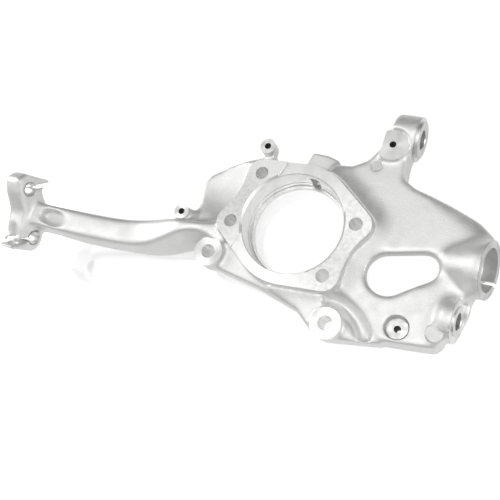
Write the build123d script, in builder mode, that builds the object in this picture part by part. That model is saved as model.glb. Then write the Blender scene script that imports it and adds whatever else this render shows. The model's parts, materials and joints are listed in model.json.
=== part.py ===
"""Front steering knuckle: a cast aluminium body with two pressed-in steel sleeves.

Frame: the origin is the centre of the hub bore on the hub face, +Z points outboard along the
wheel axis, +X points from the gooseneck towards the lower ball joints. The knuckle lies on its
inboard side, with its lowest faces at rest_z. All sizes are in millimetres.
"""
from build123d import *
import os
from math import cos, radians, sin, tan

os.makedirs("parts", exist_ok=True)

# ---- levels along the wheel axis, measured from the hub face
rest_z = -44.0            # lowest faces of the casting
web_z = -12.0             # outboard skin of the web
web_thickness = 11.0      # skin of the web over its inboard pocket
wall_thickness = 9.0      # wall round the inboard pocket
web_corner = 5.0          # rounding of the web's outline
web_edge_radius = 4.5     # rounding of the web's outboard edge
plate_z = -14.0           # outboard skin of the plate round the hub
plate_bottom_z = -35.0
plate_corner = 4.0
recess_z = -21.0          # floor of the recess beside the lower caliper ear
recess_draft = 20.0
cut_over = 1.0            # cutters run this far past the faces that they open
trim_size = (600, 400)    # everything inboard of rest_z is trimmed off over this area
trim_depth = 10.0

# ---- hub seat
bore_radius = 46.0
bore_chamfer = 2.0
lip_radius = 42.5         # smaller opening at the inboard end of the bore
lip_height = 4.0
hub_depth = 31.0          # hub face to the inboard end of the lip
step_radius = 45.2        # slightly smaller seat at the inboard half of the bore
step_depth = 21.5
shaft_recess_radius = 45.5
barrel_radius = 56.0      # flange edge between the pads
flange_thickness = 13.0
bolt_spacing_long = 101.0
bolt_spacing_short = 52.0
bolt_pattern_angle = -15.0
bolt_hole_radius = 6.0
bolt_head_radius = 10.0   # room for the bolt heads under the inboard side of the pads
pad_radius = 13.5
pad_root_radius = 12.0    # column under each pad
pad_blend_radius = 60.0   # inner corners of the flange outline, between its paired pads
pad_blend_share = 0.9     # of the straight sides beside those corners that the blend may use
relief_width = 72.0       # milled band across the hub face
relief_reach = 61.0       # radius at which its cutter stops
relief_depth = 1.6

# ---- wheel speed sensor: slot through the bore wall and pad outside it
sensor_x = 4.0
sensor_slot_width = 8.5
sensor_slot_top = -9.0
sensor_slot_radius = 53.5 # radius that the slot reaches into the wall
sensor_hole_radius = 4.5
sensor_hole_z = -24.0
sensor_pad_y = 74.0
sensor_pad_slant = 3.0    # the pad's outer face falls away to one side by this much
sensor_pad_top = -17.0
sensor_pad_corner = 1.5

# ---- caliper ears
ear_upper = (-69.8, -43.3)
ear_lower = (54.9, -74.7)
ear_radius = 13.6
ear_face_z = -8.0
ear_thickness = 22.0
ear_hole_radius = 6.5
ear_hole_depth = 30.0     # through the ear and the plate behind it

# ---- tie-rod arm
tie_axis_point = (81.1, 108.2, -24.0)
tie_tilt = 4.0            # the axis rises outboard towards its open end
tie_boss_radius = 20.0
tie_boss_length = 23.0
tie_shoulder = 4.0        # rounding of the boss's closed end
tie_sleeve_radius = 16.3
tie_sleeve_bore = 8.5
tie_sleeve_length = 16.0
tie_sleeve_stand = 2.3
tie_hole_length = 34.0    # the taper pin's hole, right through the boss and the arm
tie_pad_centre = (62.5, 92.5)
tie_pad_radius = 14.5
tie_pad_z = -8.5
tie_pad_root = 2.0        # the pad starts this far under the web's skin
tie_pad_flat = 9.0        # the pad runs off the edge of the arm this far from its centre
tie_pad_cutter = 20.0     # height cleared over the pad
tie_pad_hole_radius = 3.0
tie_pad_hole_depth = 14.0

# ---- lower ball-joint bosses
joint_axis_point = (154.3, -40.9, -20.0)
joint_tilt = 12.0
joint_boss_radius = 18.8
joint_boss_length = 15.0
joint_shoulder = 8.0
joint_sleeve_radius = 12.7
joint_sleeve_bore = 7.2
joint_sleeve_length = 13.0
joint_sleeve_stand = 1.0
joint_hole_length = 32.0  # the stud's hole, through the boss into the pocket under the web
link_axis_point = (167.1, 4.9, -14.0)
link_tilt = 16.0
link_boss_radius = 24.6
link_boss_length = 6.0    # collar round the mouth of the bore
link_bore_radius = 18.4
link_bore_depth = 12.0
link_seat_radius = 12.0
link_seat_depth = 22.0
link_slit_width = 3.6
link_slit_offset = -6.0
link_cone_length = 31.0   # the collar runs out into the web as a cone
link_cone_taper = 20.0
sleeve_edge = 0.6         # chamfers of the bores of the pressed-in sleeves

# ---- small machined spots on the web
counterbore_centre = (110.9, -60.6)
counterbore_radius = 9.8
counterbore_depth = 9.0
counterbore_hole_radius = 3.0
counterbore_boss_radius = 13.5
stud_pad_centre = (140.8, -57.0)
stud_pad_radius = 8.0
stud_pad_height = 3.5
stud_pad_draft = 20.0
ejector_centre = (53.8, 72.3)
ejector_radius = 5.5
ejector_depth = 0.7

# ---- bracket bosses
bracket_boss_radius = 7.2
bracket_hole_radius = 3.0
bracket_hole_depth = 11.0
bracket_arm = (-107.2, -14.8)
bracket_shell = (-46.6, 65.4)
bracket_face_z = -2.0
bracket_height = 15.0
bracket_lugs = [(-100, -17), (-44, 57)]
bracket_lug_size = (9, 17)
bracket_lug_height = 9.0

# ---- gooseneck and the clamp head at its end
gooseneck_corner = 4.5
head_centre = (-246.7, -61.0, 22.0)
head_roll = 35.0          # the line of the two bores leans outboard by this angle
head_tilt = 7.0
head_length = 21.0
head_bore_pitch = 48.8
head_bore_radius = 6.6
head_slit_width = 3.2
head_slit_length = 40.0   # from each bore's axis out through the lobe
head_corner = 2.0
head_edge_radius = 3.0
pinch_offset = 17.0
pinch_start = 44.0        # the pinch bolt holes start this far from the head's centre
pinch_hole_radius = 4.2
pinch_hole_depth = 36.0

# ---- scooped fairing between the hub and the gooseneck
scoop_centre = (-75, 20)
scoop_radius = 75.0
scoop_depth = 7.0

# ---- foot, window and pocket
foot_top_z = -28.0
foot_corner = 3.0
window_left = (91, -20)
window_left_radius = 18.0
window_right = (118, -6)
window_right_radius = 12.0
window_edge = 2.0
pocket_centre = (-228, -57.5, 14)
pocket_slope = 27.3       # the gooseneck falls towards the hub by this angle
pocket_length = 25.0
pocket_width = 15.0
pocket_depth = 12.0       # at its deep end, beside the clamp head


def axis_plane(point, tilt):
    """Plane whose normal is the car's downward direction, raised outboard by tilt."""
    direction = (cos(radians(tilt)), 0, sin(radians(tilt)))
    return Plane(origin=point, x_dir=(0, 1, 0), z_dir=direction)


def outline(points, radius):
    """Closed outline with every corner rounded."""
    with BuildSketch(mode=Mode.PRIVATE) as sketch:
        with BuildLine():
            Polyline(*points, close=True)
        make_face()
        fillet(sketch.vertices(), radius)
    return sketch.sketch


def bolt_locations():
    """The four hub bolt holes, on a rectangle turned in the hub face."""
    turn = Location((0, 0, 0), (0, 0, bolt_pattern_angle))
    return [turn * place for place in GridLocations(bolt_spacing_long, bolt_spacing_short, 2, 2)]


def on_pattern_axis(vertex):
    """True at the corners between the paired pads, which lie on the pattern's long axis."""
    angle = radians(bolt_pattern_angle)
    return abs(vertex.Y * cos(angle) - vertex.X * sin(angle)) < 0.5


def widest_blend(sides):
    """The largest fillet radius that the two straight sides of a corner have room for."""
    bend = sides[0].tangent_at(0.5).get_angle(sides[1].tangent_at(0.5))
    bend = min(bend, 180 - bend)
    return pad_blend_share * min(side.length for side in sides) / tan(radians(bend / 2))


tie_plane = axis_plane(tie_axis_point, tie_tilt)
joint_plane = axis_plane(joint_axis_point, joint_tilt)
link_plane = axis_plane(link_axis_point, link_tilt)
head_plane = Plane(
    origin=head_centre,
    x_dir=(0, cos(radians(head_roll)), sin(radians(head_roll))),
    z_dir=(cos(radians(head_tilt)), 0, sin(radians(head_tilt))),
)

# ---- web between the hub, the tie-rod arm and the lower bosses
web_points = [
    (5, 30), (16, 66), (32, 68), (44, 76), (52, 90), (54.5, 108), (77.5, 108), (78, 82),
    (80, 66), (92, 59.5), (122, 53), (150, 43.5), (165, 33), (167, 5), (161, -19),
    (150, -30), (149, -62), (144, -69), (129, -71.5), (99, -76), (91, -67), (79, -56),
    (60, -47), (40, -30),
]
with BuildPart() as web:
    with BuildSketch(Plane.XY.offset(rest_z)):
        add(outline(web_points, web_corner))
    extrude(amount=web_z - rest_z)
    fillet(web.faces().sort_by(Axis.Z)[-1].edges(), web_edge_radius)
    with BuildSketch(Plane.XY.offset(rest_z)):
        offset(outline(web_points, web_corner), -wall_thickness)
        with Locations(counterbore_centre):
            Circle(counterbore_boss_radius, mode=Mode.SUBTRACT)
    extrude(amount=web_z - web_thickness - rest_z, mode=Mode.SUBTRACT)

    # lightening window
    with BuildSketch(Plane.XY.offset(rest_z)) as window:
        with BuildLine():
            CenterArc(window_left, window_left_radius, 0, 360)
            CenterArc(window_right, window_right_radius, 0, 360)
        make_hull()
    extrude(amount=-rest_z, mode=Mode.SUBTRACT)
    window_rim = web.edges(Select.LAST).filter_by_position(Axis.Z, web_z - 0.01, web_z + 0.01)
    chamfer(window_rim, window_edge)

# ---- hub barrel, with the flange and its four pads
with BuildPart() as hub:
    with BuildSketch(Plane.XY.offset(-flange_thickness)) as flange:
        Circle(barrel_radius)
        for place in bolt_locations():
            centre = place.position
            with BuildSketch(mode=Mode.PRIVATE) as pad:
                with BuildLine():
                    CenterArc((0, 0), barrel_radius, 0, 360)
                    CenterArc((centre.X, centre.Y), pad_radius, 0, 360)
                make_hull()
            add(pad.sketch)
        corners = flange.vertices().filter_by(on_pattern_axis)
        sides = flange.edges().filter_by(lambda edge: edge.distance_to(corners[0]) < 0.01)
        fillet(corners, min(pad_blend_radius, widest_blend(sides)))
    extrude(amount=flange_thickness)
    with BuildSketch(Plane.XY.offset(plate_bottom_z)):
        Circle(barrel_radius)
        with Locations(bolt_locations()):
            Circle(pad_root_radius)
    extrude(amount=-plate_bottom_z - flange_thickness)

# ---- plate round the hub: fairing to the gooseneck, rim between the caliper ears
plate_points = [
    (-50, 60), (-66, 53), (-84, 43.5), (-100, 31), (-104, 20), (-100, -2), (-101, -22), (-87, -40),
    (-78, -52), (-59, -56), (-17, -61.5), (25, -71), (42, -84), (60, -87), (104, -77.5),
    (104, -62), (60, -40), (0, 0), (-20, 58),
]
recess_points = [
    (36, -57), (52, -48), (66, -50), (80, -57), (90, -67), (96, -76), (84, -84), (76, -70), (62, -60),
]
with BuildPart() as plate:
    with BuildSketch(Plane.XY.offset(plate_bottom_z)):
        add(outline(plate_points, plate_corner))
    extrude(amount=plate_z - plate_bottom_z)
    fillet(plate.faces().sort_by(Axis.Z)[-1].edges(), plate_corner)
    with Locations((*scoop_centre, plate_z - scoop_depth + scoop_radius)):
        Sphere(scoop_radius, mode=Mode.SUBTRACT)
    with BuildSketch(Plane.XY.offset(plate_z)):
        add(outline(recess_points, plate_corner))
    extrude(amount=recess_z - plate_z, taper=recess_draft, mode=Mode.SUBTRACT)

# ---- caliper ears
with BuildPart() as ears:
    with BuildSketch(Plane.XY.offset(ear_face_z)):
        with Locations(ear_upper, ear_lower):
            Circle(ear_radius)
    extrude(amount=-ear_thickness)

# ---- gooseneck: lofted from the plate down to its belly and up to the clamp head
# each section: station along X, outboard face (y, y, z), inboard face (y, y, z)
gooseneck_sections = [
    (-52, (-4, -17, -8), (-4, -34, -26)),
    (-76, (-15, -28, -4), (-14, -43, -30)),
    (-102, (-22, -34.5, 2), (-20, -49, -34)),
    (-120, (-24, -46, -3), (-22, -54, -41)),
    (-140, (-27, -54.5, -11), (-26, -58.5, -44)),
    (-165, (-32.5, -59.5, -13), (-31, -61.5, -43.5)),
    (-190, (-37.5, -63.5, -5), (-36, -66, -35)),
    (-215, (-42, -67, 7), (-41, -69, -22)),
    (-240, (-46, -70, 20), (-46, -72, -6)),
    (-258, (-48, -72, 29), (-49, -74, 8)),
]
with BuildPart() as gooseneck:
    for station, (top_a, top_b, top_z), (low_a, low_b, low_z) in gooseneck_sections:
        with BuildSketch(Plane.YZ.offset(station)) as section:
            with BuildLine():
                Polyline((top_a, top_z), (top_b, top_z), (low_b, low_z), (low_a, low_z), close=True)
            make_face()
            fillet(section.vertices(), gooseneck_corner)
    loft()

# ---- clamp head, with two slit bores
upper_lobe = [(37, 13), (40.5, 2), (35, -10), (29, -25), (23.5, -25), (21, -15), (8, -19)]
lower_lobe = [
    (-12, -11), (-27, -13), (-36, -7), (-39.5, 1), (-29, 27), (-23.5, 27), (-20, 17), (-10, 16),
]
waist = [(4, 11), (22, 14)]
with BuildPart() as clamp_head:
    with BuildSketch(head_plane):
        add(outline(upper_lobe + lower_lobe + waist, head_corner))
    extrude(amount=-head_length)
    fillet(clamp_head.faces().sort_by(Axis.X)[0].edges(), head_edge_radius)

# ---- bosses whose axes point down the car
with BuildPart() as tie_boss:
    with BuildSketch(tie_plane):
        Circle(tie_boss_radius)
    extrude(amount=-tie_boss_length)
    fillet(tie_boss.edges().sort_by(Axis.X)[0], tie_shoulder)

with BuildPart() as joint_boss:
    with BuildSketch(joint_plane):
        Circle(joint_boss_radius)
    extrude(amount=-joint_boss_length)
    fillet(joint_boss.edges().sort_by(Axis.X)[0], joint_shoulder)

with BuildPart() as link_boss:
    with BuildSketch(link_plane):
        Circle(link_boss_radius)
    extrude(amount=-link_boss_length)
    with BuildSketch(link_plane.offset(-link_boss_length)):
        Circle(link_boss_radius)
    extrude(amount=-link_cone_length, taper=link_cone_taper)

# ---- bracket bosses for the sensor lead, on their lugs
with BuildPart() as brackets:
    with BuildSketch(Plane.XY.offset(bracket_face_z)):
        with Locations(bracket_arm, bracket_shell):
            Circle(bracket_boss_radius)
    extrude(amount=-bracket_height)
    with BuildSketch(Plane.XY.offset(bracket_face_z - bracket_height)):
        with Locations(*bracket_lugs):
            Rectangle(*bracket_lug_size)
    extrude(amount=bracket_lug_height)

# ---- foot under the lower ball-joint boss
foot_points = [(120, -24), (160, -16), (161, -30), (157, -52), (140, -60)]
with BuildPart() as foot:
    with BuildSketch(Plane.XY.offset(rest_z)):
        add(outline(foot_points, foot_corner))
    extrude(amount=foot_top_z - rest_z)

# ---- pad for the wheel speed sensor, outside the bore wall
sensor_pad_points = [
    (-14, bore_radius), (-8, sensor_pad_y), (8, sensor_pad_y), (19, sensor_pad_y - sensor_pad_slant),
    (24, bore_radius),
]
with BuildPart() as sensor_pad:
    with BuildSketch(Plane.XY.offset(-hub_depth)):
        add(outline(sensor_pad_points, sensor_pad_corner))
    extrude(amount=hub_depth + sensor_pad_top)

# ---- pocket in the gooseneck: an oval whose floor ramps up towards the hub
pocket_plane = Plane(
    origin=pocket_centre,
    x_dir=(cos(radians(pocket_slope)), 0, -sin(radians(pocket_slope))),
    z_dir=(sin(radians(pocket_slope)), 0, cos(radians(pocket_slope))),
)
ramp_start = pocket_plane.from_local_coords(Vector(-pocket_length / 2, 0, -pocket_depth))
ramp_end = pocket_plane.from_local_coords(Vector(pocket_length / 2, 0, 0))
ramp_dir = (ramp_end - ramp_start).normalized()
ramp_plane = Plane(origin=ramp_end, x_dir=ramp_dir, z_dir=ramp_dir.cross(Vector(0, 1, 0)))
with BuildPart() as pocket_cutter:
    with BuildSketch(pocket_plane.offset(-pocket_depth)):
        Ellipse(pocket_length / 2, pocket_width / 2)
    extrude(amount=2 * pocket_depth)
    split(bisect_by=ramp_plane, keep=Keep.TOP)

# ---- the casting, joined and machined
with BuildPart() as knuckle_casting:
    for piece in (hub, plate, web, foot, ears, gooseneck, clamp_head):
        add(piece.part)
    for piece in (tie_boss, joint_boss, link_boss, brackets, sensor_pad):
        add(piece.part)

    # milled pads on the cast skin
    with BuildSketch(Plane.XY.offset(web_z - tie_pad_root)):
        with Locations(tie_pad_centre):
            Circle(tie_pad_radius)
        with Locations((tie_pad_centre[0] + tie_pad_radius - tie_pad_flat, tie_pad_centre[1])):
            Rectangle(2 * tie_pad_radius, 2 * tie_pad_radius, mode=Mode.INTERSECT)
    extrude(amount=tie_pad_z - web_z + tie_pad_root)
    with BuildSketch(Plane.XY.offset(tie_pad_z)):
        with Locations(tie_pad_centre):
            Circle(tie_pad_radius)
    extrude(amount=tie_pad_cutter, mode=Mode.SUBTRACT)
    with BuildSketch(Plane.XY.offset(web_z)):
        with Locations(stud_pad_centre):
            Circle(stud_pad_radius)
    extrude(amount=stud_pad_height, taper=stud_pad_draft)
    with BuildSketch(Plane.XY.offset(web_z - ejector_depth)):
        with Locations(ejector_centre):
            Circle(ejector_radius)
    extrude(amount=ejector_depth, mode=Mode.SUBTRACT)

    # hub bore with its chamfer and lip
    with BuildSketch(Plane.XZ):
        with BuildLine():
            Polyline(
                (0, cut_over), (bore_radius + bore_chamfer + cut_over, cut_over),
                (bore_radius, -bore_chamfer),
                (bore_radius, -step_depth), (step_radius, -step_depth),
                (step_radius, lip_height - hub_depth), (lip_radius, lip_height - hub_depth),
                (lip_radius, -hub_depth), (shaft_recess_radius, -hub_depth),
                (shaft_recess_radius, rest_z), (0, rest_z), close=True,
            )
        make_face()
    revolve(axis=Axis.Z, mode=Mode.SUBTRACT)

    # relief band milled across the hub face
    with BuildSketch(Plane.XY.offset(-relief_depth)):
        Rectangle(relief_width, 2 * relief_reach, rotation=bolt_pattern_angle)
        Circle(relief_reach, mode=Mode.INTERSECT)
    extrude(amount=relief_depth, mode=Mode.SUBTRACT)

    # hub bolt holes, with room for the bolt heads on the inboard side
    with Locations(bolt_locations()):
        Hole(bolt_hole_radius, depth=-rest_z)
    with BuildSketch(Plane.XY.offset(rest_z)):
        with Locations(bolt_locations()):
            Circle(bolt_head_radius)
    extrude(amount=plate_bottom_z - rest_z, mode=Mode.SUBTRACT)

    # slot for the wheel speed sensor
    with BuildSketch(Plane.XY.offset(lip_height - hub_depth)):
        with Locations((sensor_x, sensor_slot_radius / 2)):
            Rectangle(sensor_slot_width, sensor_slot_radius)
    extrude(amount=sensor_slot_top - lip_height + hub_depth, mode=Mode.SUBTRACT)
    with Locations(Plane(origin=(sensor_x, sensor_pad_y, sensor_hole_z), z_dir=(0, 1, 0))):
        Hole(sensor_hole_radius, depth=sensor_pad_y - bore_radius)

    # caliper bolt holes
    with Locations(*[(x, y, ear_face_z) for x, y in (ear_upper, ear_lower)]):
        Hole(ear_hole_radius, depth=ear_hole_depth)

    # counterbored hole in the web
    with Locations((*counterbore_centre, web_z)):
        CounterBoreHole(counterbore_hole_radius, counterbore_radius, counterbore_depth, depth=-rest_z)

    # bores of the sleeves and of the lower link joint
    with Locations(tie_plane):
        CounterBoreHole(tie_sleeve_bore, tie_sleeve_radius, tie_sleeve_length - tie_sleeve_stand,
                        depth=tie_hole_length)
    with Locations(joint_plane):
        CounterBoreHole(joint_sleeve_bore, joint_sleeve_radius, joint_sleeve_length - joint_sleeve_stand,
                        depth=joint_hole_length)
    with Locations(link_plane):
        CounterBoreHole(link_seat_radius, link_bore_radius, link_bore_depth, depth=link_seat_depth)
    with BuildSketch(link_plane):
        with Locations((link_slit_offset, -link_boss_radius)):
            Rectangle(link_slit_width, 2 * link_boss_radius)
    extrude(amount=-link_bore_depth, mode=Mode.SUBTRACT)

    # threaded holes of the bracket bosses and of the tie-rod arm pad
    with Locations(*[(x, y, bracket_face_z) for x, y in (bracket_arm, bracket_shell)]):
        Hole(bracket_hole_radius, depth=bracket_hole_depth)
    with Locations((*tie_pad_centre, tie_pad_z)):
        Hole(tie_pad_hole_radius, depth=tie_pad_hole_depth)

    # clamp head: ball-joint bores, slits and pinch bolt holes
    for side in (1, -1):
        with Locations(head_plane.location * Location((side * head_bore_pitch / 2, 0, 0))):
            Hole(head_bore_radius, depth=head_length)
        with BuildSketch(head_plane):
            with Locations((side * head_bore_pitch / 2, -side * head_slit_length / 2)):
                Rectangle(head_slit_width, head_slit_length)
        extrude(amount=-head_length, mode=Mode.SUBTRACT)
        pinch_mouth = Vector(side * pinch_start, -side * pinch_offset, -head_length / 2)
        with Locations(Plane(head_plane.from_local_coords(pinch_mouth), z_dir=head_plane.x_dir * side)):
            Hole(pinch_hole_radius, depth=pinch_hole_depth)

    # pocket in the gooseneck beside the clamp head
    add(pocket_cutter.part, mode=Mode.SUBTRACT)

    # the inboard side ends on one level
    with BuildSketch(Plane.XY.offset(rest_z)):
        Rectangle(*trim_size)
    extrude(amount=-trim_depth, mode=Mode.SUBTRACT)

knuckle_casting.part.label = "knuckle_casting"
export_step(knuckle_casting.part, "parts/knuckle_casting.step")

# ---- pressed-in steel sleeves
def sleeve(plane, outer, inner, length, stand):
    """Turned sleeve, its open end standing proud of the boss face."""
    with BuildPart() as ring:
        with BuildSketch(plane.offset(stand)):
            Circle(outer)
            Circle(inner, mode=Mode.SUBTRACT)
        extrude(amount=-length)
        chamfer(ring.edges().filter_by(GeomType.CIRCLE).group_by(SortBy.RADIUS)[0], sleeve_edge)
    return ring


tie_rod_sleeve = sleeve(tie_plane, tie_sleeve_radius, tie_sleeve_bore, tie_sleeve_length, tie_sleeve_stand)
tie_rod_sleeve.part.label = "tie_rod_sleeve"
export_step(tie_rod_sleeve.part, "parts/tie_rod_sleeve.step")

ball_joint_sleeve = sleeve(
    joint_plane, joint_sleeve_radius, joint_sleeve_bore, joint_sleeve_length, joint_sleeve_stand
)
ball_joint_sleeve.part.label = "ball_joint_sleeve"
export_step(ball_joint_sleeve.part, "parts/ball_joint_sleeve.step")
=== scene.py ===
"""Looks of the steering knuckle: cast skin, milled faces, sleeves, floor, light and camera.

Lengths are in millimetres unless a name says otherwise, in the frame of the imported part:
+Z outboard along the wheel axis, origin at the centre of the hub bore on the hub face.
"""

import json
from math import radians

import bmesh
import bpy
import numpy as np
from mathutils import Matrix, Vector

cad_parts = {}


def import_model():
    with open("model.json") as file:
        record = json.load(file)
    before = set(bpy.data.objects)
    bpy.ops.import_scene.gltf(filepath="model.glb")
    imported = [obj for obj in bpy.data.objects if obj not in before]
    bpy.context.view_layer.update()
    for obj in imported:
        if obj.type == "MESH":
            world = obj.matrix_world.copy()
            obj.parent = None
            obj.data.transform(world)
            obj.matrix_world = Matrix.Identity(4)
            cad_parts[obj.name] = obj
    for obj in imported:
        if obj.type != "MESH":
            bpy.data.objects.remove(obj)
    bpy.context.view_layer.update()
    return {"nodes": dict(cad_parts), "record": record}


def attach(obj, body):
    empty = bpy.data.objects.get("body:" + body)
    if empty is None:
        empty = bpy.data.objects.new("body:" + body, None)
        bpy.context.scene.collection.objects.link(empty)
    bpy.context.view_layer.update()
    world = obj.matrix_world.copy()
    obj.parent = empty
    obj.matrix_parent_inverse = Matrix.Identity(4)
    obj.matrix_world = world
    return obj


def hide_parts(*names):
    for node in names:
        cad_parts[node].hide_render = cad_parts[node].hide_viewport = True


MM = 0.001

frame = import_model()
casting = frame["nodes"]["knuckle_casting"]
mounts = {m["name"]: m for m in frame["record"]["mounts"]}

# ---- the skin mesh
voxel = 0.85                # grid of the skin mesh
skin_triangles = 190000
smooth_steps = 46
convex_share = 0.45         # outer corners are rounded less than inner ones are filled
skin_under_milled = 0.22    # the skin lies this far under the milled pieces

# ---- milled, bored and turned places
up = (0.0, 0.0, 1.0)
flat = 0.5                  # how far from its plane a milled face may lie
past_mouth = 1.0            # bores are followed this far out of their mouths
disc_margin = 0.1
pinned_wall = 1.2           # the skin is pinned this far round a bore
pin_ramp = 0.5              # and lets go over this length
flange_reach = 76.0         # takes in the four pads
flange_radius = 56.0
relief_depth = 1.6          # of the band milled across the flange
pad_radius = 13.5
bore_chamfer = 2.0
hub_depth = 31.5
hub_seat_reach = 49.0       # walls nearer the wheel axis than this are the seat's bore
plate_bottom = -35.5
ear_face = -8.0
ear_radius = 13.6
ear_bore_bottom = -34.0
bracket_face = -2.0
bracket_radius = 7.2
bracket_thread_bottom = -12.0
tie_pad_face = -8.5
tie_pad_radius = 14.5
tie_pad_thread_bottom = -15.0
web_level = -12.0
counterbore = (110.9, -60.6, web_level)
counterbore_radius = 9.8
counterbore_depth = 9.0
small_hole_radius = 3.0
small_hole_bottom = -33.0
small_hole_reach = 4.0      # faces nearer its axis than this are threaded
# sideways bosses: from the mount to the boss's face, then the boss's radius, the radius
# of its bore or of the sleeve's seat, and how deep the milled piece follows it
tie_boss = (-1.5, 20.0, 16.3, 15.0)
joint_boss = (0.0, 18.8, 12.7, 13.0)
link_boss = (1.0, 24.6, mounts["lower_link_bore"]["dims"]["r_mm"], 18.0)
clamp_bore_reach = 12.0     # to both sides of the clamp bores' middle
ejector_mark = (53.8, 72.3, web_level)
ejector_radius = 5.5
ejector_depth = 0.7
stud_pad = (140.8, -57.0, web_level)
stud_pad_radius = 8.0
stud_pad_height = 3.5
mark_rim = 1.0              # the marks' outer edges stay in the skin
piece_share = 0.5           # faces with all their corners over this share join a milled piece
sharp_angle = 30.0          # degrees; edges of the milled pieces over this stay sharp
wall_lean = 0.95            # faces whose normals agree less than this with the axis are walls
sideways_lean = 0.5         # axes with more of X than this lie sideways

# ---- where the casting is blended more softly: (centre, reach)
soft_places = (
    ((-165, -50, -10), 64), ((72, -64, -18), 26), ((146, -8, -12), 34), ((142, -38, -12), 22),
    ((-90, 10, -16), 45), ((130, 50, -13), 24), ((152, 38, -13), 26),
    ((-260, -61, 22), 30), ((-262, -45, 36), 28), ((-262, -80, 8), 28),
)
soft_steps = 70
soft_fade = 2.5             # softness is whole inside (1 - 1 / soft_fade) of the reach

# ---- the web's upper edge, where it falls away
sloped_edge = ((88, 61), (122, 53), (150, 43.5), (163, 34))
slope_width = 20.0
slope_drop = 6.0
slope_overhang = 2.0        # points this far outside the edge still move
least_width = 0.1
web_side = 5.0              # points this near the web's level belong to its outboard skin

# ---- the web's wide hollow beside the flange: height and reach, and the levels that it moves
sweep_height = 7.0
sweep_reach = 19.0
sweep_from_x = -5.0
sweep_gap = 0.5             # from the flange's own wall
sweep_below, fade_below = 3.5, 2.0
sweep_above, fade_above = 2.5, 1.5
hull_shares = np.linspace(0.2, 1, 9)    # circles that fill the hull from the flange to each pad

# ---- smoothing
step_share = 0.5            # of the way to the neighbours' middle, in each step
normals_every = 8


def place(name):
    return np.array(mounts[name]["pos_m"]) / MM, np.array(mounts[name]["axis"])


def radius(name):
    return mounts[name]["dims"]["r_mm"]


def at_level(name, z):
    centre = place(name)[0]
    return (centre[0], centre[1], z)


def milled_places():
    """{piece name: (discs, bores)} of every milled place on the casting.

    Discs are (centre, axis, radius, depth), and bores are (centre, axis, radius, lowest
    station, highest station) along the axis from the centre.
    """
    bolts = [name for name in mounts if name.startswith("hub_bolt")]
    found = {
        "hub_seat": (
            [((0, 0, -relief_depth / 2), up, flange_reach, relief_depth / 2 + flat)],
            [((0, 0, 0), up, radius("hub_bore") + bore_chamfer, -hub_depth, past_mouth)]
            + [(at_level(n, 0), up, radius(n), plate_bottom, past_mouth) for n in bolts],
        )
    }
    for name, level, face_radius, bottom in (
        ("caliper_bolt_upper", ear_face, ear_radius, ear_bore_bottom),
        ("caliper_bolt_lower", ear_face, ear_radius, ear_bore_bottom),
        ("bracket_thread_arm", bracket_face, bracket_radius, bracket_thread_bottom),
        ("bracket_thread_fairing", bracket_face, bracket_radius, bracket_thread_bottom),
        ("arm_thread", tie_pad_face, tie_pad_radius, tie_pad_thread_bottom),
    ):
        centre = at_level(name, level)
        piece = "arm_pad_face" if name == "arm_thread" else name + "_face"
        bore = (centre, up, radius(name), bottom, past_mouth)
        found[piece] = ([(centre, up, face_radius, flat)], [bore])
    found["counterbore_face"] = (
        [],
        [(counterbore, up, counterbore_radius, -counterbore_depth - flat, past_mouth),
         (counterbore, up, small_hole_radius, small_hole_bottom, past_mouth)],
    )
    for name, (to_face, boss, seat, depth) in (
        ("tie_rod_bore", tie_boss),
        ("ball_joint_bore", joint_boss),
        ("lower_link_bore", link_boss),
    ):
        centre, axis = place(name)
        centre = centre + to_face * axis
        bore = (centre, axis, seat, -depth, past_mouth)
        found[name + "_face"] = ([(centre, axis, boss, flat)], [bore])
    for name in ("upper_link_bore_front", "upper_link_bore_rear"):
        centre, axis = place(name)
        bore = (centre, axis, radius(name), -clamp_bore_reach, clamp_bore_reach)
        found[name + "_wall"] = ([], [bore])
    return found


def crisp_cast_places():
    """Small cast marks that keep their exact faces."""
    mark, pad = ejector_radius - mark_rim, stud_pad_radius - mark_rim
    return {
        "ejector_mark": ([], [(ejector_mark, up, mark, -ejector_depth - flat, flat)]),
        "stud_pad": ([], [(stud_pad, up, pad, -flat, stud_pad_height + flat)]),
    }


# ---------------------------------------------------------------- mesh helpers
def points_of(obj):
    co = np.zeros(len(obj.data.vertices) * 3)
    obj.data.vertices.foreach_get("co", co)
    return co.reshape(-1, 3) / MM


def set_points(obj, points):
    obj.data.vertices.foreach_set("co", (points * MM).ravel())
    obj.data.update()


def normals_of(obj):
    no = np.zeros(len(obj.data.vertices) * 3)
    obj.data.vertices.foreach_get("normal", no)
    return no.reshape(-1, 3)


def apply_modifier(obj, kind, **settings):
    modifier = obj.modifiers.new(kind.lower(), kind)
    for key, value in settings.items():
        setattr(modifier, key, value)
    with bpy.context.temp_override(object=obj, active_object=obj, selected_objects=[obj]):
        bpy.ops.object.modifier_apply(modifier=modifier.name)


def along_and_across(points, centre, axis):
    axis = np.array(axis, float) / np.linalg.norm(axis)
    offset = points - np.array(centre, float)
    along = offset @ axis
    return along, np.linalg.norm(offset - along[:, None] * axis, axis=1)


def soft(value):
    """1 where value is well over 0, 0 where it is well under, with a short ramp between."""
    return np.clip(value / pin_ramp + 0.5, 0, 1)


def share_in(points, places):
    """How far each point lies on the milled places, from 0 to 1."""
    share = np.zeros(len(points))
    for discs, bores in places:
        for centre, axis, reach, depth in discs:
            along, across = along_and_across(points, centre, axis)
            inside = soft(reach + disc_margin - across)
            share = np.maximum(share, inside * soft(depth - np.abs(along)))
        for centre, axis, reach, low, high in bores:
            along, across = along_and_across(points, centre, axis)
            inside = soft(reach + pinned_wall - across)
            share = np.maximum(share, inside * soft(along - low) * soft(high - along))
    return share


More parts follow.
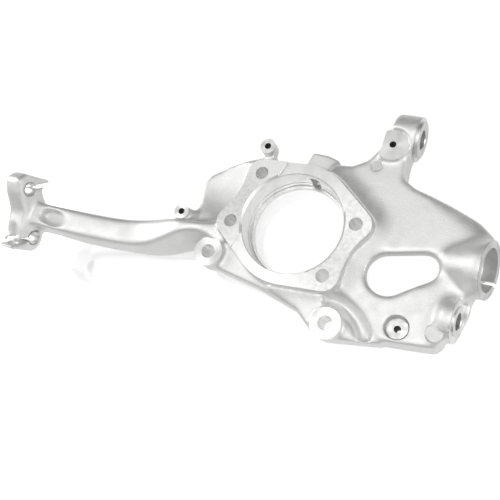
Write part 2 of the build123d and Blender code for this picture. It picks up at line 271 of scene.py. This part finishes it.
# ---------------------------------------------------------------- the cast skin
def smooth_skin(obj, keep, steps, outer_share):
    """Fill inner corners and round outer ones, as a casting's radii do, but not where keep is 1."""
    edges = np.zeros(len(obj.data.edges) * 2, dtype=np.int64)
    obj.data.edges.foreach_get("vertices", edges)
    a, b = edges.reshape(-1, 2).T
    count = len(obj.data.vertices)
    degree = np.maximum(np.bincount(a, minlength=count) + np.bincount(b, minlength=count), 1)
    p = points_of(obj)
    for step in range(steps):
        if step % normals_every == 0:
            set_points(obj, p)
            n = normals_of(obj)
        pull = np.empty_like(p)
        for k in range(3):
            total = np.bincount(a, p[b, k], count) + np.bincount(b, p[a, k], count)
            pull[:, k] = total / degree - p[:, k]
        share = np.where((pull * n).sum(1) < 0, outer_share, 1.0)
        p += pull * (step_share * share * (1 - keep))[:, None]
    set_points(obj, p)


def flange_distance(p):
    """Distance outside the flange outline, from its round edge and its four pads."""
    centres = [place(name)[0] for name in mounts if name.startswith("hub_bolt")]
    across = np.linalg.norm(p[:, :2], axis=1) - flange_radius
    for c in centres:
        for share in hull_shares:
            r = flange_radius + (pad_radius - flange_radius) * share
            across = np.minimum(across, np.linalg.norm(p[:, :2] - c[:2] * share, axis=1) - r)
    return across


def facing_up(n):
    """1 on level faces and on those that lean less than 60 degrees, 0 on walls."""
    return np.clip(n[:, 2] * 2, 0, 1)


def shape_web(p, n):
    """The web sweeps up to the flange in a wide hollow."""
    d = flange_distance(p)
    skin = np.clip((p[:, 2] - web_level + sweep_below) / fade_below, 0, 1) * facing_up(n)
    skin *= np.clip((web_level + sweep_above - p[:, 2]) / fade_above, 0, 1)
    skin *= (p[:, 0] > sweep_from_x) * (d > sweep_gap)
    moved = p.copy()
    moved[:, 2] += sweep_height * np.clip(1 - d / sweep_reach, 0, 1) ** 2 * skin
    return moved


def slope_edge(p, n):
    """The web falls away to its upper edge, more and more towards the lower link."""
    lowered = p.copy()
    (first_x, _), (last_x, _) = sloped_edge[0], sloped_edge[-1]
    done = np.clip((p[:, 0] - first_x) / (last_x - first_x), 0, 1)
    width = np.maximum(slope_width * done, least_width)
    top = facing_up(n) * (np.abs(p[:, 2] - web_level) < web_side)
    for (x0, y0), (x1, y1) in zip(sloped_edge, sloped_edge[1:]):
        side = np.array((x1 - x0, y1 - y0))
        length = np.linalg.norm(side)
        rel = p[:, :2] - (x0, y0)
        along = rel @ side / length
        inward = rel @ np.array((side[1], -side[0])) / length
        fall = np.clip(1 - np.maximum(inward, 0) / width, 0, 1) ** 2
        on_side = (along >= 0) & (along < length)
        on_side &= (inward > -slope_overhang) & (inward < slope_width)
        lowered[:, 2] -= slope_drop * done * fall * top * on_side
    return lowered


def softness(p):
    """1 in the middle of the soft places, 0 outside them."""
    share = np.zeros(len(p))
    for centre, reach in soft_places:
        away = np.linalg.norm(p - np.array(centre, float), axis=1)
        share = np.maximum(share, np.clip(soft_fade * (1 - away / reach), 0, 1))
    return share


def copy_of_casting(name):
    obj = bpy.data.objects.new(name, casting.data.copy())
    bpy.context.scene.collection.objects.link(obj)
    obj.data.materials.clear()
    return obj


def shade_smooth(obj):
    for face in obj.data.polygons:
        face.use_smooth = True


def cast_skin(places):
    """The casting as it comes from the mould: a finer mesh with its radii and soft forms."""
    obj = copy_of_casting("cast_body")
    apply_modifier(obj, "REMESH", mode="VOXEL", voxel_size=voxel * MM)
    set_points(obj, shape_web(points_of(obj), normals_of(obj)))
    set_points(obj, slope_edge(points_of(obj), normals_of(obj)))
    keep = share_in(points_of(obj), places.values())
    smooth_skin(obj, keep, smooth_steps, convex_share)
    smooth_skin(obj, np.maximum(keep, 1 - softness(points_of(obj))), soft_steps, 1.0)
    sunk = points_of(obj) - normals_of(obj) * (skin_under_milled * keep)[:, None]
    set_points(obj, sunk)
    triangles = sum(len(f.vertices) - 2 for f in obj.data.polygons)
    apply_modifier(obj, "DECIMATE", ratio=min(1, skin_triangles / triangles))
    shade_smooth(obj)
    return obj


def milled_piece(name, places):
    """The casting's own faces at one milled place, copied exactly."""
    obj = copy_of_casting(name)
    share = share_in(points_of(obj), [places])
    mesh = bmesh.new()
    mesh.from_mesh(obj.data)
    mesh.verts.ensure_lookup_table()
    others = [f for f in mesh.faces if min(share[v.index] for v in f.verts) < piece_share]
    bmesh.ops.delete(mesh, geom=others, context="FACES")
    mesh.to_mesh(obj.data)
    mesh.free()
    if "custom_normal" in obj.data.attributes:
        obj.data.attributes.remove(obj.data.attributes["custom_normal"])
    shade_smooth(obj)
    obj.data.set_sharp_from_angle(angle=radians(sharp_angle))
    return obj


# ---------------------------------------------------------------- material helpers
grey_blue = 0.99            # blue over red and green in every grey, which warms it a little


def new_material(name, metallic):
    material = bpy.data.materials.new(name)
    material.use_nodes = True
    nodes, links = material.node_tree.nodes, material.node_tree.links
    shader = nodes["Principled BSDF"]
    shader.inputs["Metallic"].default_value = metallic
    return material, nodes, links, shader


def maths(nodes, links, kind, operation, *values):
    """A math node of the kind Math or VectorMath; each value is a constant or a socket."""
    node = nodes.new("ShaderNode" + kind)
    node.operation = operation
    for socket, value in zip(node.inputs, values):
        if isinstance(value, bpy.types.NodeSocket):
            links.new(value, socket)
        else:
            socket.default_value = value
    return node


def object_place(nodes):
    return nodes.new("ShaderNodeTexCoord").outputs["Object"]


def noise(nodes, links, where, scale, detail, distortion=0.0):
    node = nodes.new("ShaderNodeTexNoise")
    node.inputs["Scale"].default_value = scale
    node.inputs["Detail"].default_value = detail
    node.inputs["Distortion"].default_value = distortion
    links.new(where, node.inputs["Vector"])
    return node.outputs["Fac"]


def shades(nodes, links, pattern, between, greys):
    """From the first grey to the second, while the pattern runs between two levels."""
    node = nodes.new("ShaderNodeValToRGB")
    for stop, level, grey in zip(node.color_ramp.elements, between, greys):
        stop.position = level
        stop.color = (grey, grey, grey * grey_blue, 1)
    links.new(pattern, node.inputs["Fac"])
    return node.outputs["Color"]


def mix_colour(nodes, links, factor, a, b):
    node = nodes.new("ShaderNodeMix")
    node.data_type = "RGBA"
    if isinstance(factor, bpy.types.NodeSocket):
        links.new(factor, node.inputs[0])
    else:
        node.inputs[0].default_value = factor
    links.new(a, node.inputs[6])
    links.new(b, node.inputs[7])
    return node.outputs[2]


def bump(nodes, links, height, distance_mm, strength):
    node = nodes.new("ShaderNodeBump")
    node.inputs["Distance"].default_value = distance_mm * MM
    node.inputs["Strength"].default_value = strength
    links.new(height, node.inputs["Height"])
    return node.outputs["Normal"]


# ---------------------------------------------------------------- materials
def cast_aluminium(name, shade):
    """Cast aluminium, shot-blasted to a fine grain, a little blotchy and uneven."""
    material, nodes, links, shader = new_material(name, metallic=0.75)
    where = object_place(nodes)
    blotches = noise(nodes, links, where, scale=28, detail=5, distortion=0.6)
    uneven = noise(nodes, links, where, scale=120, detail=3, distortion=0.3)
    grain = noise(nodes, links, where, scale=900, detail=3)
    cast = shades(nodes, links, blotches, between=(0.3, 0.7), greys=(0.76 * shade, 0.85 * shade))
    grains = shades(nodes, links, grain, between=(0.35, 0.65), greys=(0.72 * shade, 0.90 * shade))
    roughness = shades(nodes, links, uneven, between=(0.3, 0.7), greys=(0.38, 0.54))
    wavy = maths(nodes, links, "Math", "ADD", uneven, grain).outputs[0]
    links.new(mix_colour(nodes, links, 0.4, cast, grains), shader.inputs["Base Color"])
    links.new(roughness, shader.inputs["Roughness"])
    links.new(bump(nodes, links, wavy, distance_mm=0.25, strength=0.5), shader.inputs["Normal"])
    return material


def milled_aluminium(name, axis, greys, mottle_scale):
    """Milled or turned aluminium: tool marks run round the axis, with light mottling."""
    material, nodes, links, shader = new_material(name, metallic=1.0)
    mottle = noise(nodes, links, object_place(nodes), mottle_scale, detail=5, distortion=0.2)
    colour = shades(nodes, links, mottle, between=(0.38, 0.62), greys=greys)
    roughness = shades(nodes, links, mottle, between=(0.35, 0.65), greys=(0.42, 0.30))
    links.new(colour, shader.inputs["Base Color"])
    links.new(roughness, shader.inputs["Roughness"])
    shader.inputs["Anisotropic"].default_value = 0.75
    tangent = nodes.new("ShaderNodeTangent")
    tangent.direction_type = "RADIAL"
    tangent.axis = axis
    links.new(tangent.outputs[0], shader.inputs["Tangent"])
    return material


def bored_aluminium():
    """Walls of drilled holes, with streaks along the hole from the reamer."""
    material, nodes, links, shader = new_material("bored_aluminium", metallic=1.0)
    along_hole = (1.0, 1.0, 0.06)
    drawn_out = maths(nodes, links, "VectorMath", "MULTIPLY", object_place(nodes), along_hole)
    streaks = noise(nodes, links, drawn_out.outputs[0], scale=420, detail=3)
    colour = shades(nodes, links, streaks, between=(0.4, 0.6), greys=(0.85, 0.98))
    roughness = shades(nodes, links, streaks, between=(0.35, 0.65), greys=(0.3, 0.15))
    links.new(colour, shader.inputs["Base Color"])
    links.new(roughness, shader.inputs["Roughness"])
    return material


def shaded_thread_aluminium():
    """Threaded walls, painted nearly black as the shade inside the holes, a little lighter at
    random.
    """
    material, nodes, links, shader = new_material("shaded_thread_aluminium", metallic=0.8)
    thread_shade_noise = noise(nodes, links, object_place(nodes), scale=500, detail=3)
    # painted shade: the walls are made dark so that the holes look dark inside
    colour = shades(nodes, links, thread_shade_noise, between=(0.3, 0.7), greys=(0.10, 0.32))
    roughness = shades(nodes, links, thread_shade_noise, between=(0.3, 0.7), greys=(0.5, 0.7))
    links.new(colour, shader.inputs["Base Color"])
    links.new(roughness, shader.inputs["Roughness"])
    return material


def turned_steel():
    """Turned steel of the sleeves, with slight stains."""
    material, nodes, links, shader = new_material("turned_steel", metallic=0.9)
    stains = noise(nodes, links, object_place(nodes), scale=90, detail=5)
    colour = shades(nodes, links, stains, between=(0.3, 0.7), greys=(0.72, 0.86))
    roughness = shades(nodes, links, stains, between=(0.3, 0.7), greys=(0.25, 0.4))
    links.new(colour, shader.inputs["Base Color"])
    links.new(roughness, shader.inputs["Roughness"])
    return material


# ---------------------------------------------------------------- floor, light and camera
rest_level = -44.0
floor_gap = 0.2             # the floor lies this far under the part
floor_size_m = 8.0
floor_colour = 0.8          # that the light sees
floor_roughness = 0.6
floor_shade = 0.10          # part of the white floor that takes the shadow
floor_glow = 0.60           # of the polished patch; the rest of the floor is plain white
floor_mirror = 0.42
floor_mirror_roughness = 0.10
patch_centre = (-160, -120, rest_level)
patch_reach = 260.0
patch_core = 0.35           # of the reach, inside which the patch is whole
# how much of the white floor shows in the metal, near the camera and far from it
near_y, near_share = -100.0, 0.62
far_y, far_share = 110.0, 0.18


def map_range(nodes, links, value, start, end, kind="LINEAR"):
    """A node output that runs from start[1] to end[1] while value runs from start[0] to end[0]."""
    node = nodes.new("ShaderNodeMapRange")
    node.interpolation_type = kind
    (from_min, to_min), (from_max, to_max) = start, end
    node.inputs["From Min"].default_value = from_min
    node.inputs["From Max"].default_value = from_max
    node.inputs["To Min"].default_value = to_min
    node.inputs["To Max"].default_value = to_max
    links.new(value, node.inputs["Value"])
    return node.outputs["Result"]


def emission(nodes, strength):
    node = nodes.new("ShaderNodeEmission")
    node.inputs["Strength"].default_value = strength
    return node.outputs[0]


def add_shaders(nodes, links, a, b):
    node = nodes.new("ShaderNodeAddShader")
    links.new(a, node.inputs[0])
    links.new(b, node.inputs[1])
    return node.outputs[0]


def mix_shaders(nodes, links, factor, a, b):
    node = nodes.new("ShaderNodeMixShader")
    for socket, source in zip(node.inputs, (factor, a, b)):
        links.new(source, socket)
    return node.outputs[0]


def white_floor(nodes, links, position):
    """Plain white with a polished patch under the gooseneck, and a little of the part's shadow."""
    away = maths(nodes, links, "VectorMath", "DISTANCE", position, Vector(patch_centre) * MM)
    core, edge = patch_core * patch_reach * MM, patch_reach * MM
    patch = map_range(nodes, links, away.outputs["Value"], (core, 1.0), (edge, 0.0), "SMOOTHSTEP")
    mirror = nodes.new("ShaderNodeBsdfGlossy")
    mirror.inputs["Color"].default_value = (floor_mirror, floor_mirror, floor_mirror, 1)
    mirror.inputs["Roughness"].default_value = floor_mirror_roughness
    polished = add_shaders(nodes, links, emission(nodes, floor_glow), mirror.outputs[0])
    lit = mix_shaders(nodes, links, patch, emission(nodes, 1.0 - floor_shade / 2), polished)
    shade = nodes.new("ShaderNodeBsdfDiffuse")
    shade.inputs["Color"].default_value = (floor_shade, floor_shade, floor_shade, 1)
    return add_shaders(nodes, links, lit, shade.outputs[0])


def floor():
    """White to the camera and in part to reflections; it keeps the part's shadow."""
    level = (rest_level - floor_gap) * MM
    bpy.ops.mesh.primitive_plane_add(size=floor_size_m, location=(0, 0, level))
    obj = bpy.context.object
    obj.name = "floor"
    material, nodes, links, shader = new_material("white_floor", metallic=0.0)
    shader.inputs["Base Color"].default_value = (floor_colour, floor_colour, floor_colour, 1)
    shader.inputs["Roughness"].default_value = floor_roughness
    position = nodes.new("ShaderNodeNewGeometry").outputs["Position"]
    split = nodes.new("ShaderNodeSeparateXYZ")
    links.new(position, split.inputs[0])
    near, far = (near_y * MM, near_share), (far_y * MM, far_share)
    in_metal = map_range(nodes, links, split.outputs["Y"], near, far)
    path = nodes.new("ShaderNodeLightPath").outputs
    to_camera, to_metal = path["Is Camera Ray"], path["Is Glossy Ray"]
    seen = maths(nodes, links, "Math", "MULTIPLY_ADD", to_metal, in_metal, to_camera)
    seen = maths(nodes, links, "Math", "MAXIMUM", seen.outputs[0], path["Is Transmission Ray"])
    white = white_floor(nodes, links, position)
    blend = mix_shaders(nodes, links, seen.outputs[0], shader.outputs[0], white)
    links.new(blend, nodes["Material Output"].inputs["Surface"])
    obj.data.materials.append(material)


brightest_way = Vector((0.0, -0.2, 0.98))   # towards the lit ceiling, on the camera's side
ceiling_stretch = (0.28, 1.0, 1.0)          # the lit ceiling is longer along X
# (level, brightness): from the room's dim walls to its ceiling
room_steps = ((0.0, 0.10), (0.3, 0.15), (0.6, 0.30), (0.82, 0.68), (0.94, 1.0))


def world():
    """White where the camera sees it; otherwise a room with a lit ceiling and dim walls."""
    scene_world = bpy.data.worlds.new("studio")
    bpy.context.scene.world = scene_world
    scene_world.use_nodes = True
    nodes, links = scene_world.node_tree.nodes, scene_world.node_tree.links
    direction = nodes.new("ShaderNodeTexCoord").outputs["Generated"]
    stretched = maths(nodes, links, "VectorMath", "MULTIPLY", direction, ceiling_stretch)
    unit = maths(nodes, links, "VectorMath", "NORMALIZE", stretched.outputs[0])
    way = brightest_way.normalized()
    overhead = maths(nodes, links, "VectorMath", "DOT_PRODUCT", unit.outputs[0], way)
    room = nodes.new("ShaderNodeValToRGB")
    links.new(overhead.outputs["Value"], room.inputs["Fac"])
    stops = room.color_ramp.elements
    for position, _ in room_steps[1:-1]:
        stops.new(position)
    for stop, (position, value) in zip(stops, room_steps):
        stop.position = position
        stop.color = (value, value, value, 1)
    path = nodes.new("ShaderNodeLightPath").outputs
    to_camera, through = path["Is Camera Ray"], path["Is Transmission Ray"]
    seen = maths(nodes, links, "Math", "MAXIMUM", to_camera, through)
    white = nodes.new("ShaderNodeRGB")
    white.outputs[0].default_value = (1, 1, 1, 1)
    background = nodes["Background"]
    lit = mix_colour(nodes, links, seen.outputs[0], room.outputs["Color"], white.outputs[0])
    links.new(lit, background.inputs["Color"])
    background.inputs["Strength"].default_value = 1.0


# name: place and target in metres, size in metres, power in watts
area_lights = {
    "softbox": ((0.0, -0.15, 1.4), (0, 0, 0), 0.9, 2.5),
    "side_light": ((1.3, 0.1, 0.35), (0, 0, 0), 0.7, 3.5),
    "far_light": ((-1.3, 0.1, 0.6), (-0.2, 0, 0), 0.9, 6),
}


def area_light(name, location, target, size, power):
    data = bpy.data.lights.new(name, "AREA")
    data.shape = "DISK"
    data.size = size
    data.energy = power
    obj = bpy.data.objects.new(name, data)
    bpy.context.scene.collection.objects.link(obj)
    obj.location = location
    obj.rotation_euler = (Vector(target) - Vector(location)).to_track_quat("-Z", "Y").to_euler()


# the camera, fitted to the photograph
camera_place = Vector((190.36, -135.18, 518.88))
camera_right = Vector((0.89107, 0.33217, -0.30928))
camera_down = Vector((0.24642, -0.92634, -0.28492))
focal_share = 1.3           # focal length over the picture's width
sensor_mm = 36.0
clip_start_m = 0.01


def camera():
    data = bpy.data.cameras.new("camera")
    obj = bpy.data.objects.new("camera", data)
    bpy.context.scene.collection.objects.link(obj)
    right = camera_right.normalized()
    upward = -(camera_down - camera_down.dot(right) * right).normalized()
    back = right.cross(upward)
    turn = Matrix((right, upward, back)).transposed()
    obj.matrix_world = Matrix.Translation(camera_place * MM) @ turn.to_4x4()
    data.sensor_fit = "HORIZONTAL"
    data.sensor_width = sensor_mm
    data.lens = focal_share * sensor_mm
    data.clip_start = clip_start_m
    bpy.context.scene.camera = obj


# ---------------------------------------------------------------- the scene
camera()
crisp = crisp_cast_places()
places = {**milled_places(), **crisp}
skin = cast_skin(places)
skin.data.materials.append(cast_aluminium("cast_aluminium", shade=1.0))
# a darker copy of the cast skin: painted shade on the ejector mark and the stud pad
shaded_cast_mark = cast_aluminium("shaded_cast_mark", shade=0.84)
milled = {
    axis: milled_aluminium(name, axis, greys=(0.81, 0.91), mottle_scale=110)
    for axis, name in (("X", "milled_face_x"), ("Z", "milled_face_z"))
}
turned = milled_aluminium("turned_bore", "Z", greys=(0.92, 0.99), mottle_scale=110)
pads = milled_aluminium("mottled_pads", "Z", greys=(0.80, 0.91), mottle_scale=300)
# a darker copy of the milled metal: painted shade on the clamp bores' walls, the counterbore's
# floor and the lower link's face
shaded_milled = milled_aluminium("shaded_milled_face", "X", greys=(0.60, 0.72), mottle_scale=200)
bored = bored_aluminium()
# painted shade for the walls of the threaded holes
shaded_threads = shaded_thread_aluminium()

FACE, WALL, PAD, SEAT = range(4)    # the material slots of a milled piece


def materials_of(name, axis):
    """The materials of a milled piece, one for each slot."""
    sideways = abs(axis[0]) > sideways_lean
    face = milled["X" if sideways else "Z"]
    wall = milled["X"] if sideways else bored
    pad = pads
    # these faces get the darker milled copy, which paints shade on them
    if name == "lower_link_bore_face":
        face = shaded_milled
    if name.startswith("upper_link"):
        wall = shaded_milled
    if name.startswith(("bracket", "arm_pad", "counterbore")):
        wall = shaded_threads
    if name == "counterbore_face":
        pad = shaded_milled
    return face, wall, pad, turned


def slot_of(face, name, axis, has_face):
    """The material slot of one face of a milled piece."""
    is_wall = abs(face.normal.dot(Vector(axis))) < wall_lean or not has_face
    if name == "counterbore_face":
        from_axis = (face.center.to_2d() - Vector(counterbore[:2]) * MM).length
        return WALL if from_axis < small_hole_reach * MM else PAD
    if name == "hub_seat" and is_wall:
        return SEAT if face.center.to_2d().length < hub_seat_reach * MM else WALL
    if name == "hub_seat" and abs(face.center.z) < flat * MM:
        return PAD
    return WALL if is_wall else FACE


pieces = [skin]
for name, (discs, bores) in places.items():
    piece = milled_piece(name, (discs, bores))
    pieces.append(piece)
    if name in crisp:
        piece.data.materials.append(shaded_cast_mark)
        continue
    axis = (discs + bores)[0][1]
    for material in materials_of(name, axis):
        piece.data.materials.append(material)
    for face in piece.data.polygons:
        face.material_index = slot_of(face, name, axis, has_face=bool(discs))
for piece in pieces:
    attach(piece, "root")
    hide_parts("knuckle_casting")
steel = turned_steel()
for name in ("tie_rod_sleeve", "ball_joint_sleeve"):
    node = frame["nodes"][name]
    node.data.materials.clear()
    node.data.materials.append(steel)
floor()
world()
for name, values in area_lights.items():
    area_light(name, *values)
bpy.context.scene.view_settings.view_transform = "Standard"
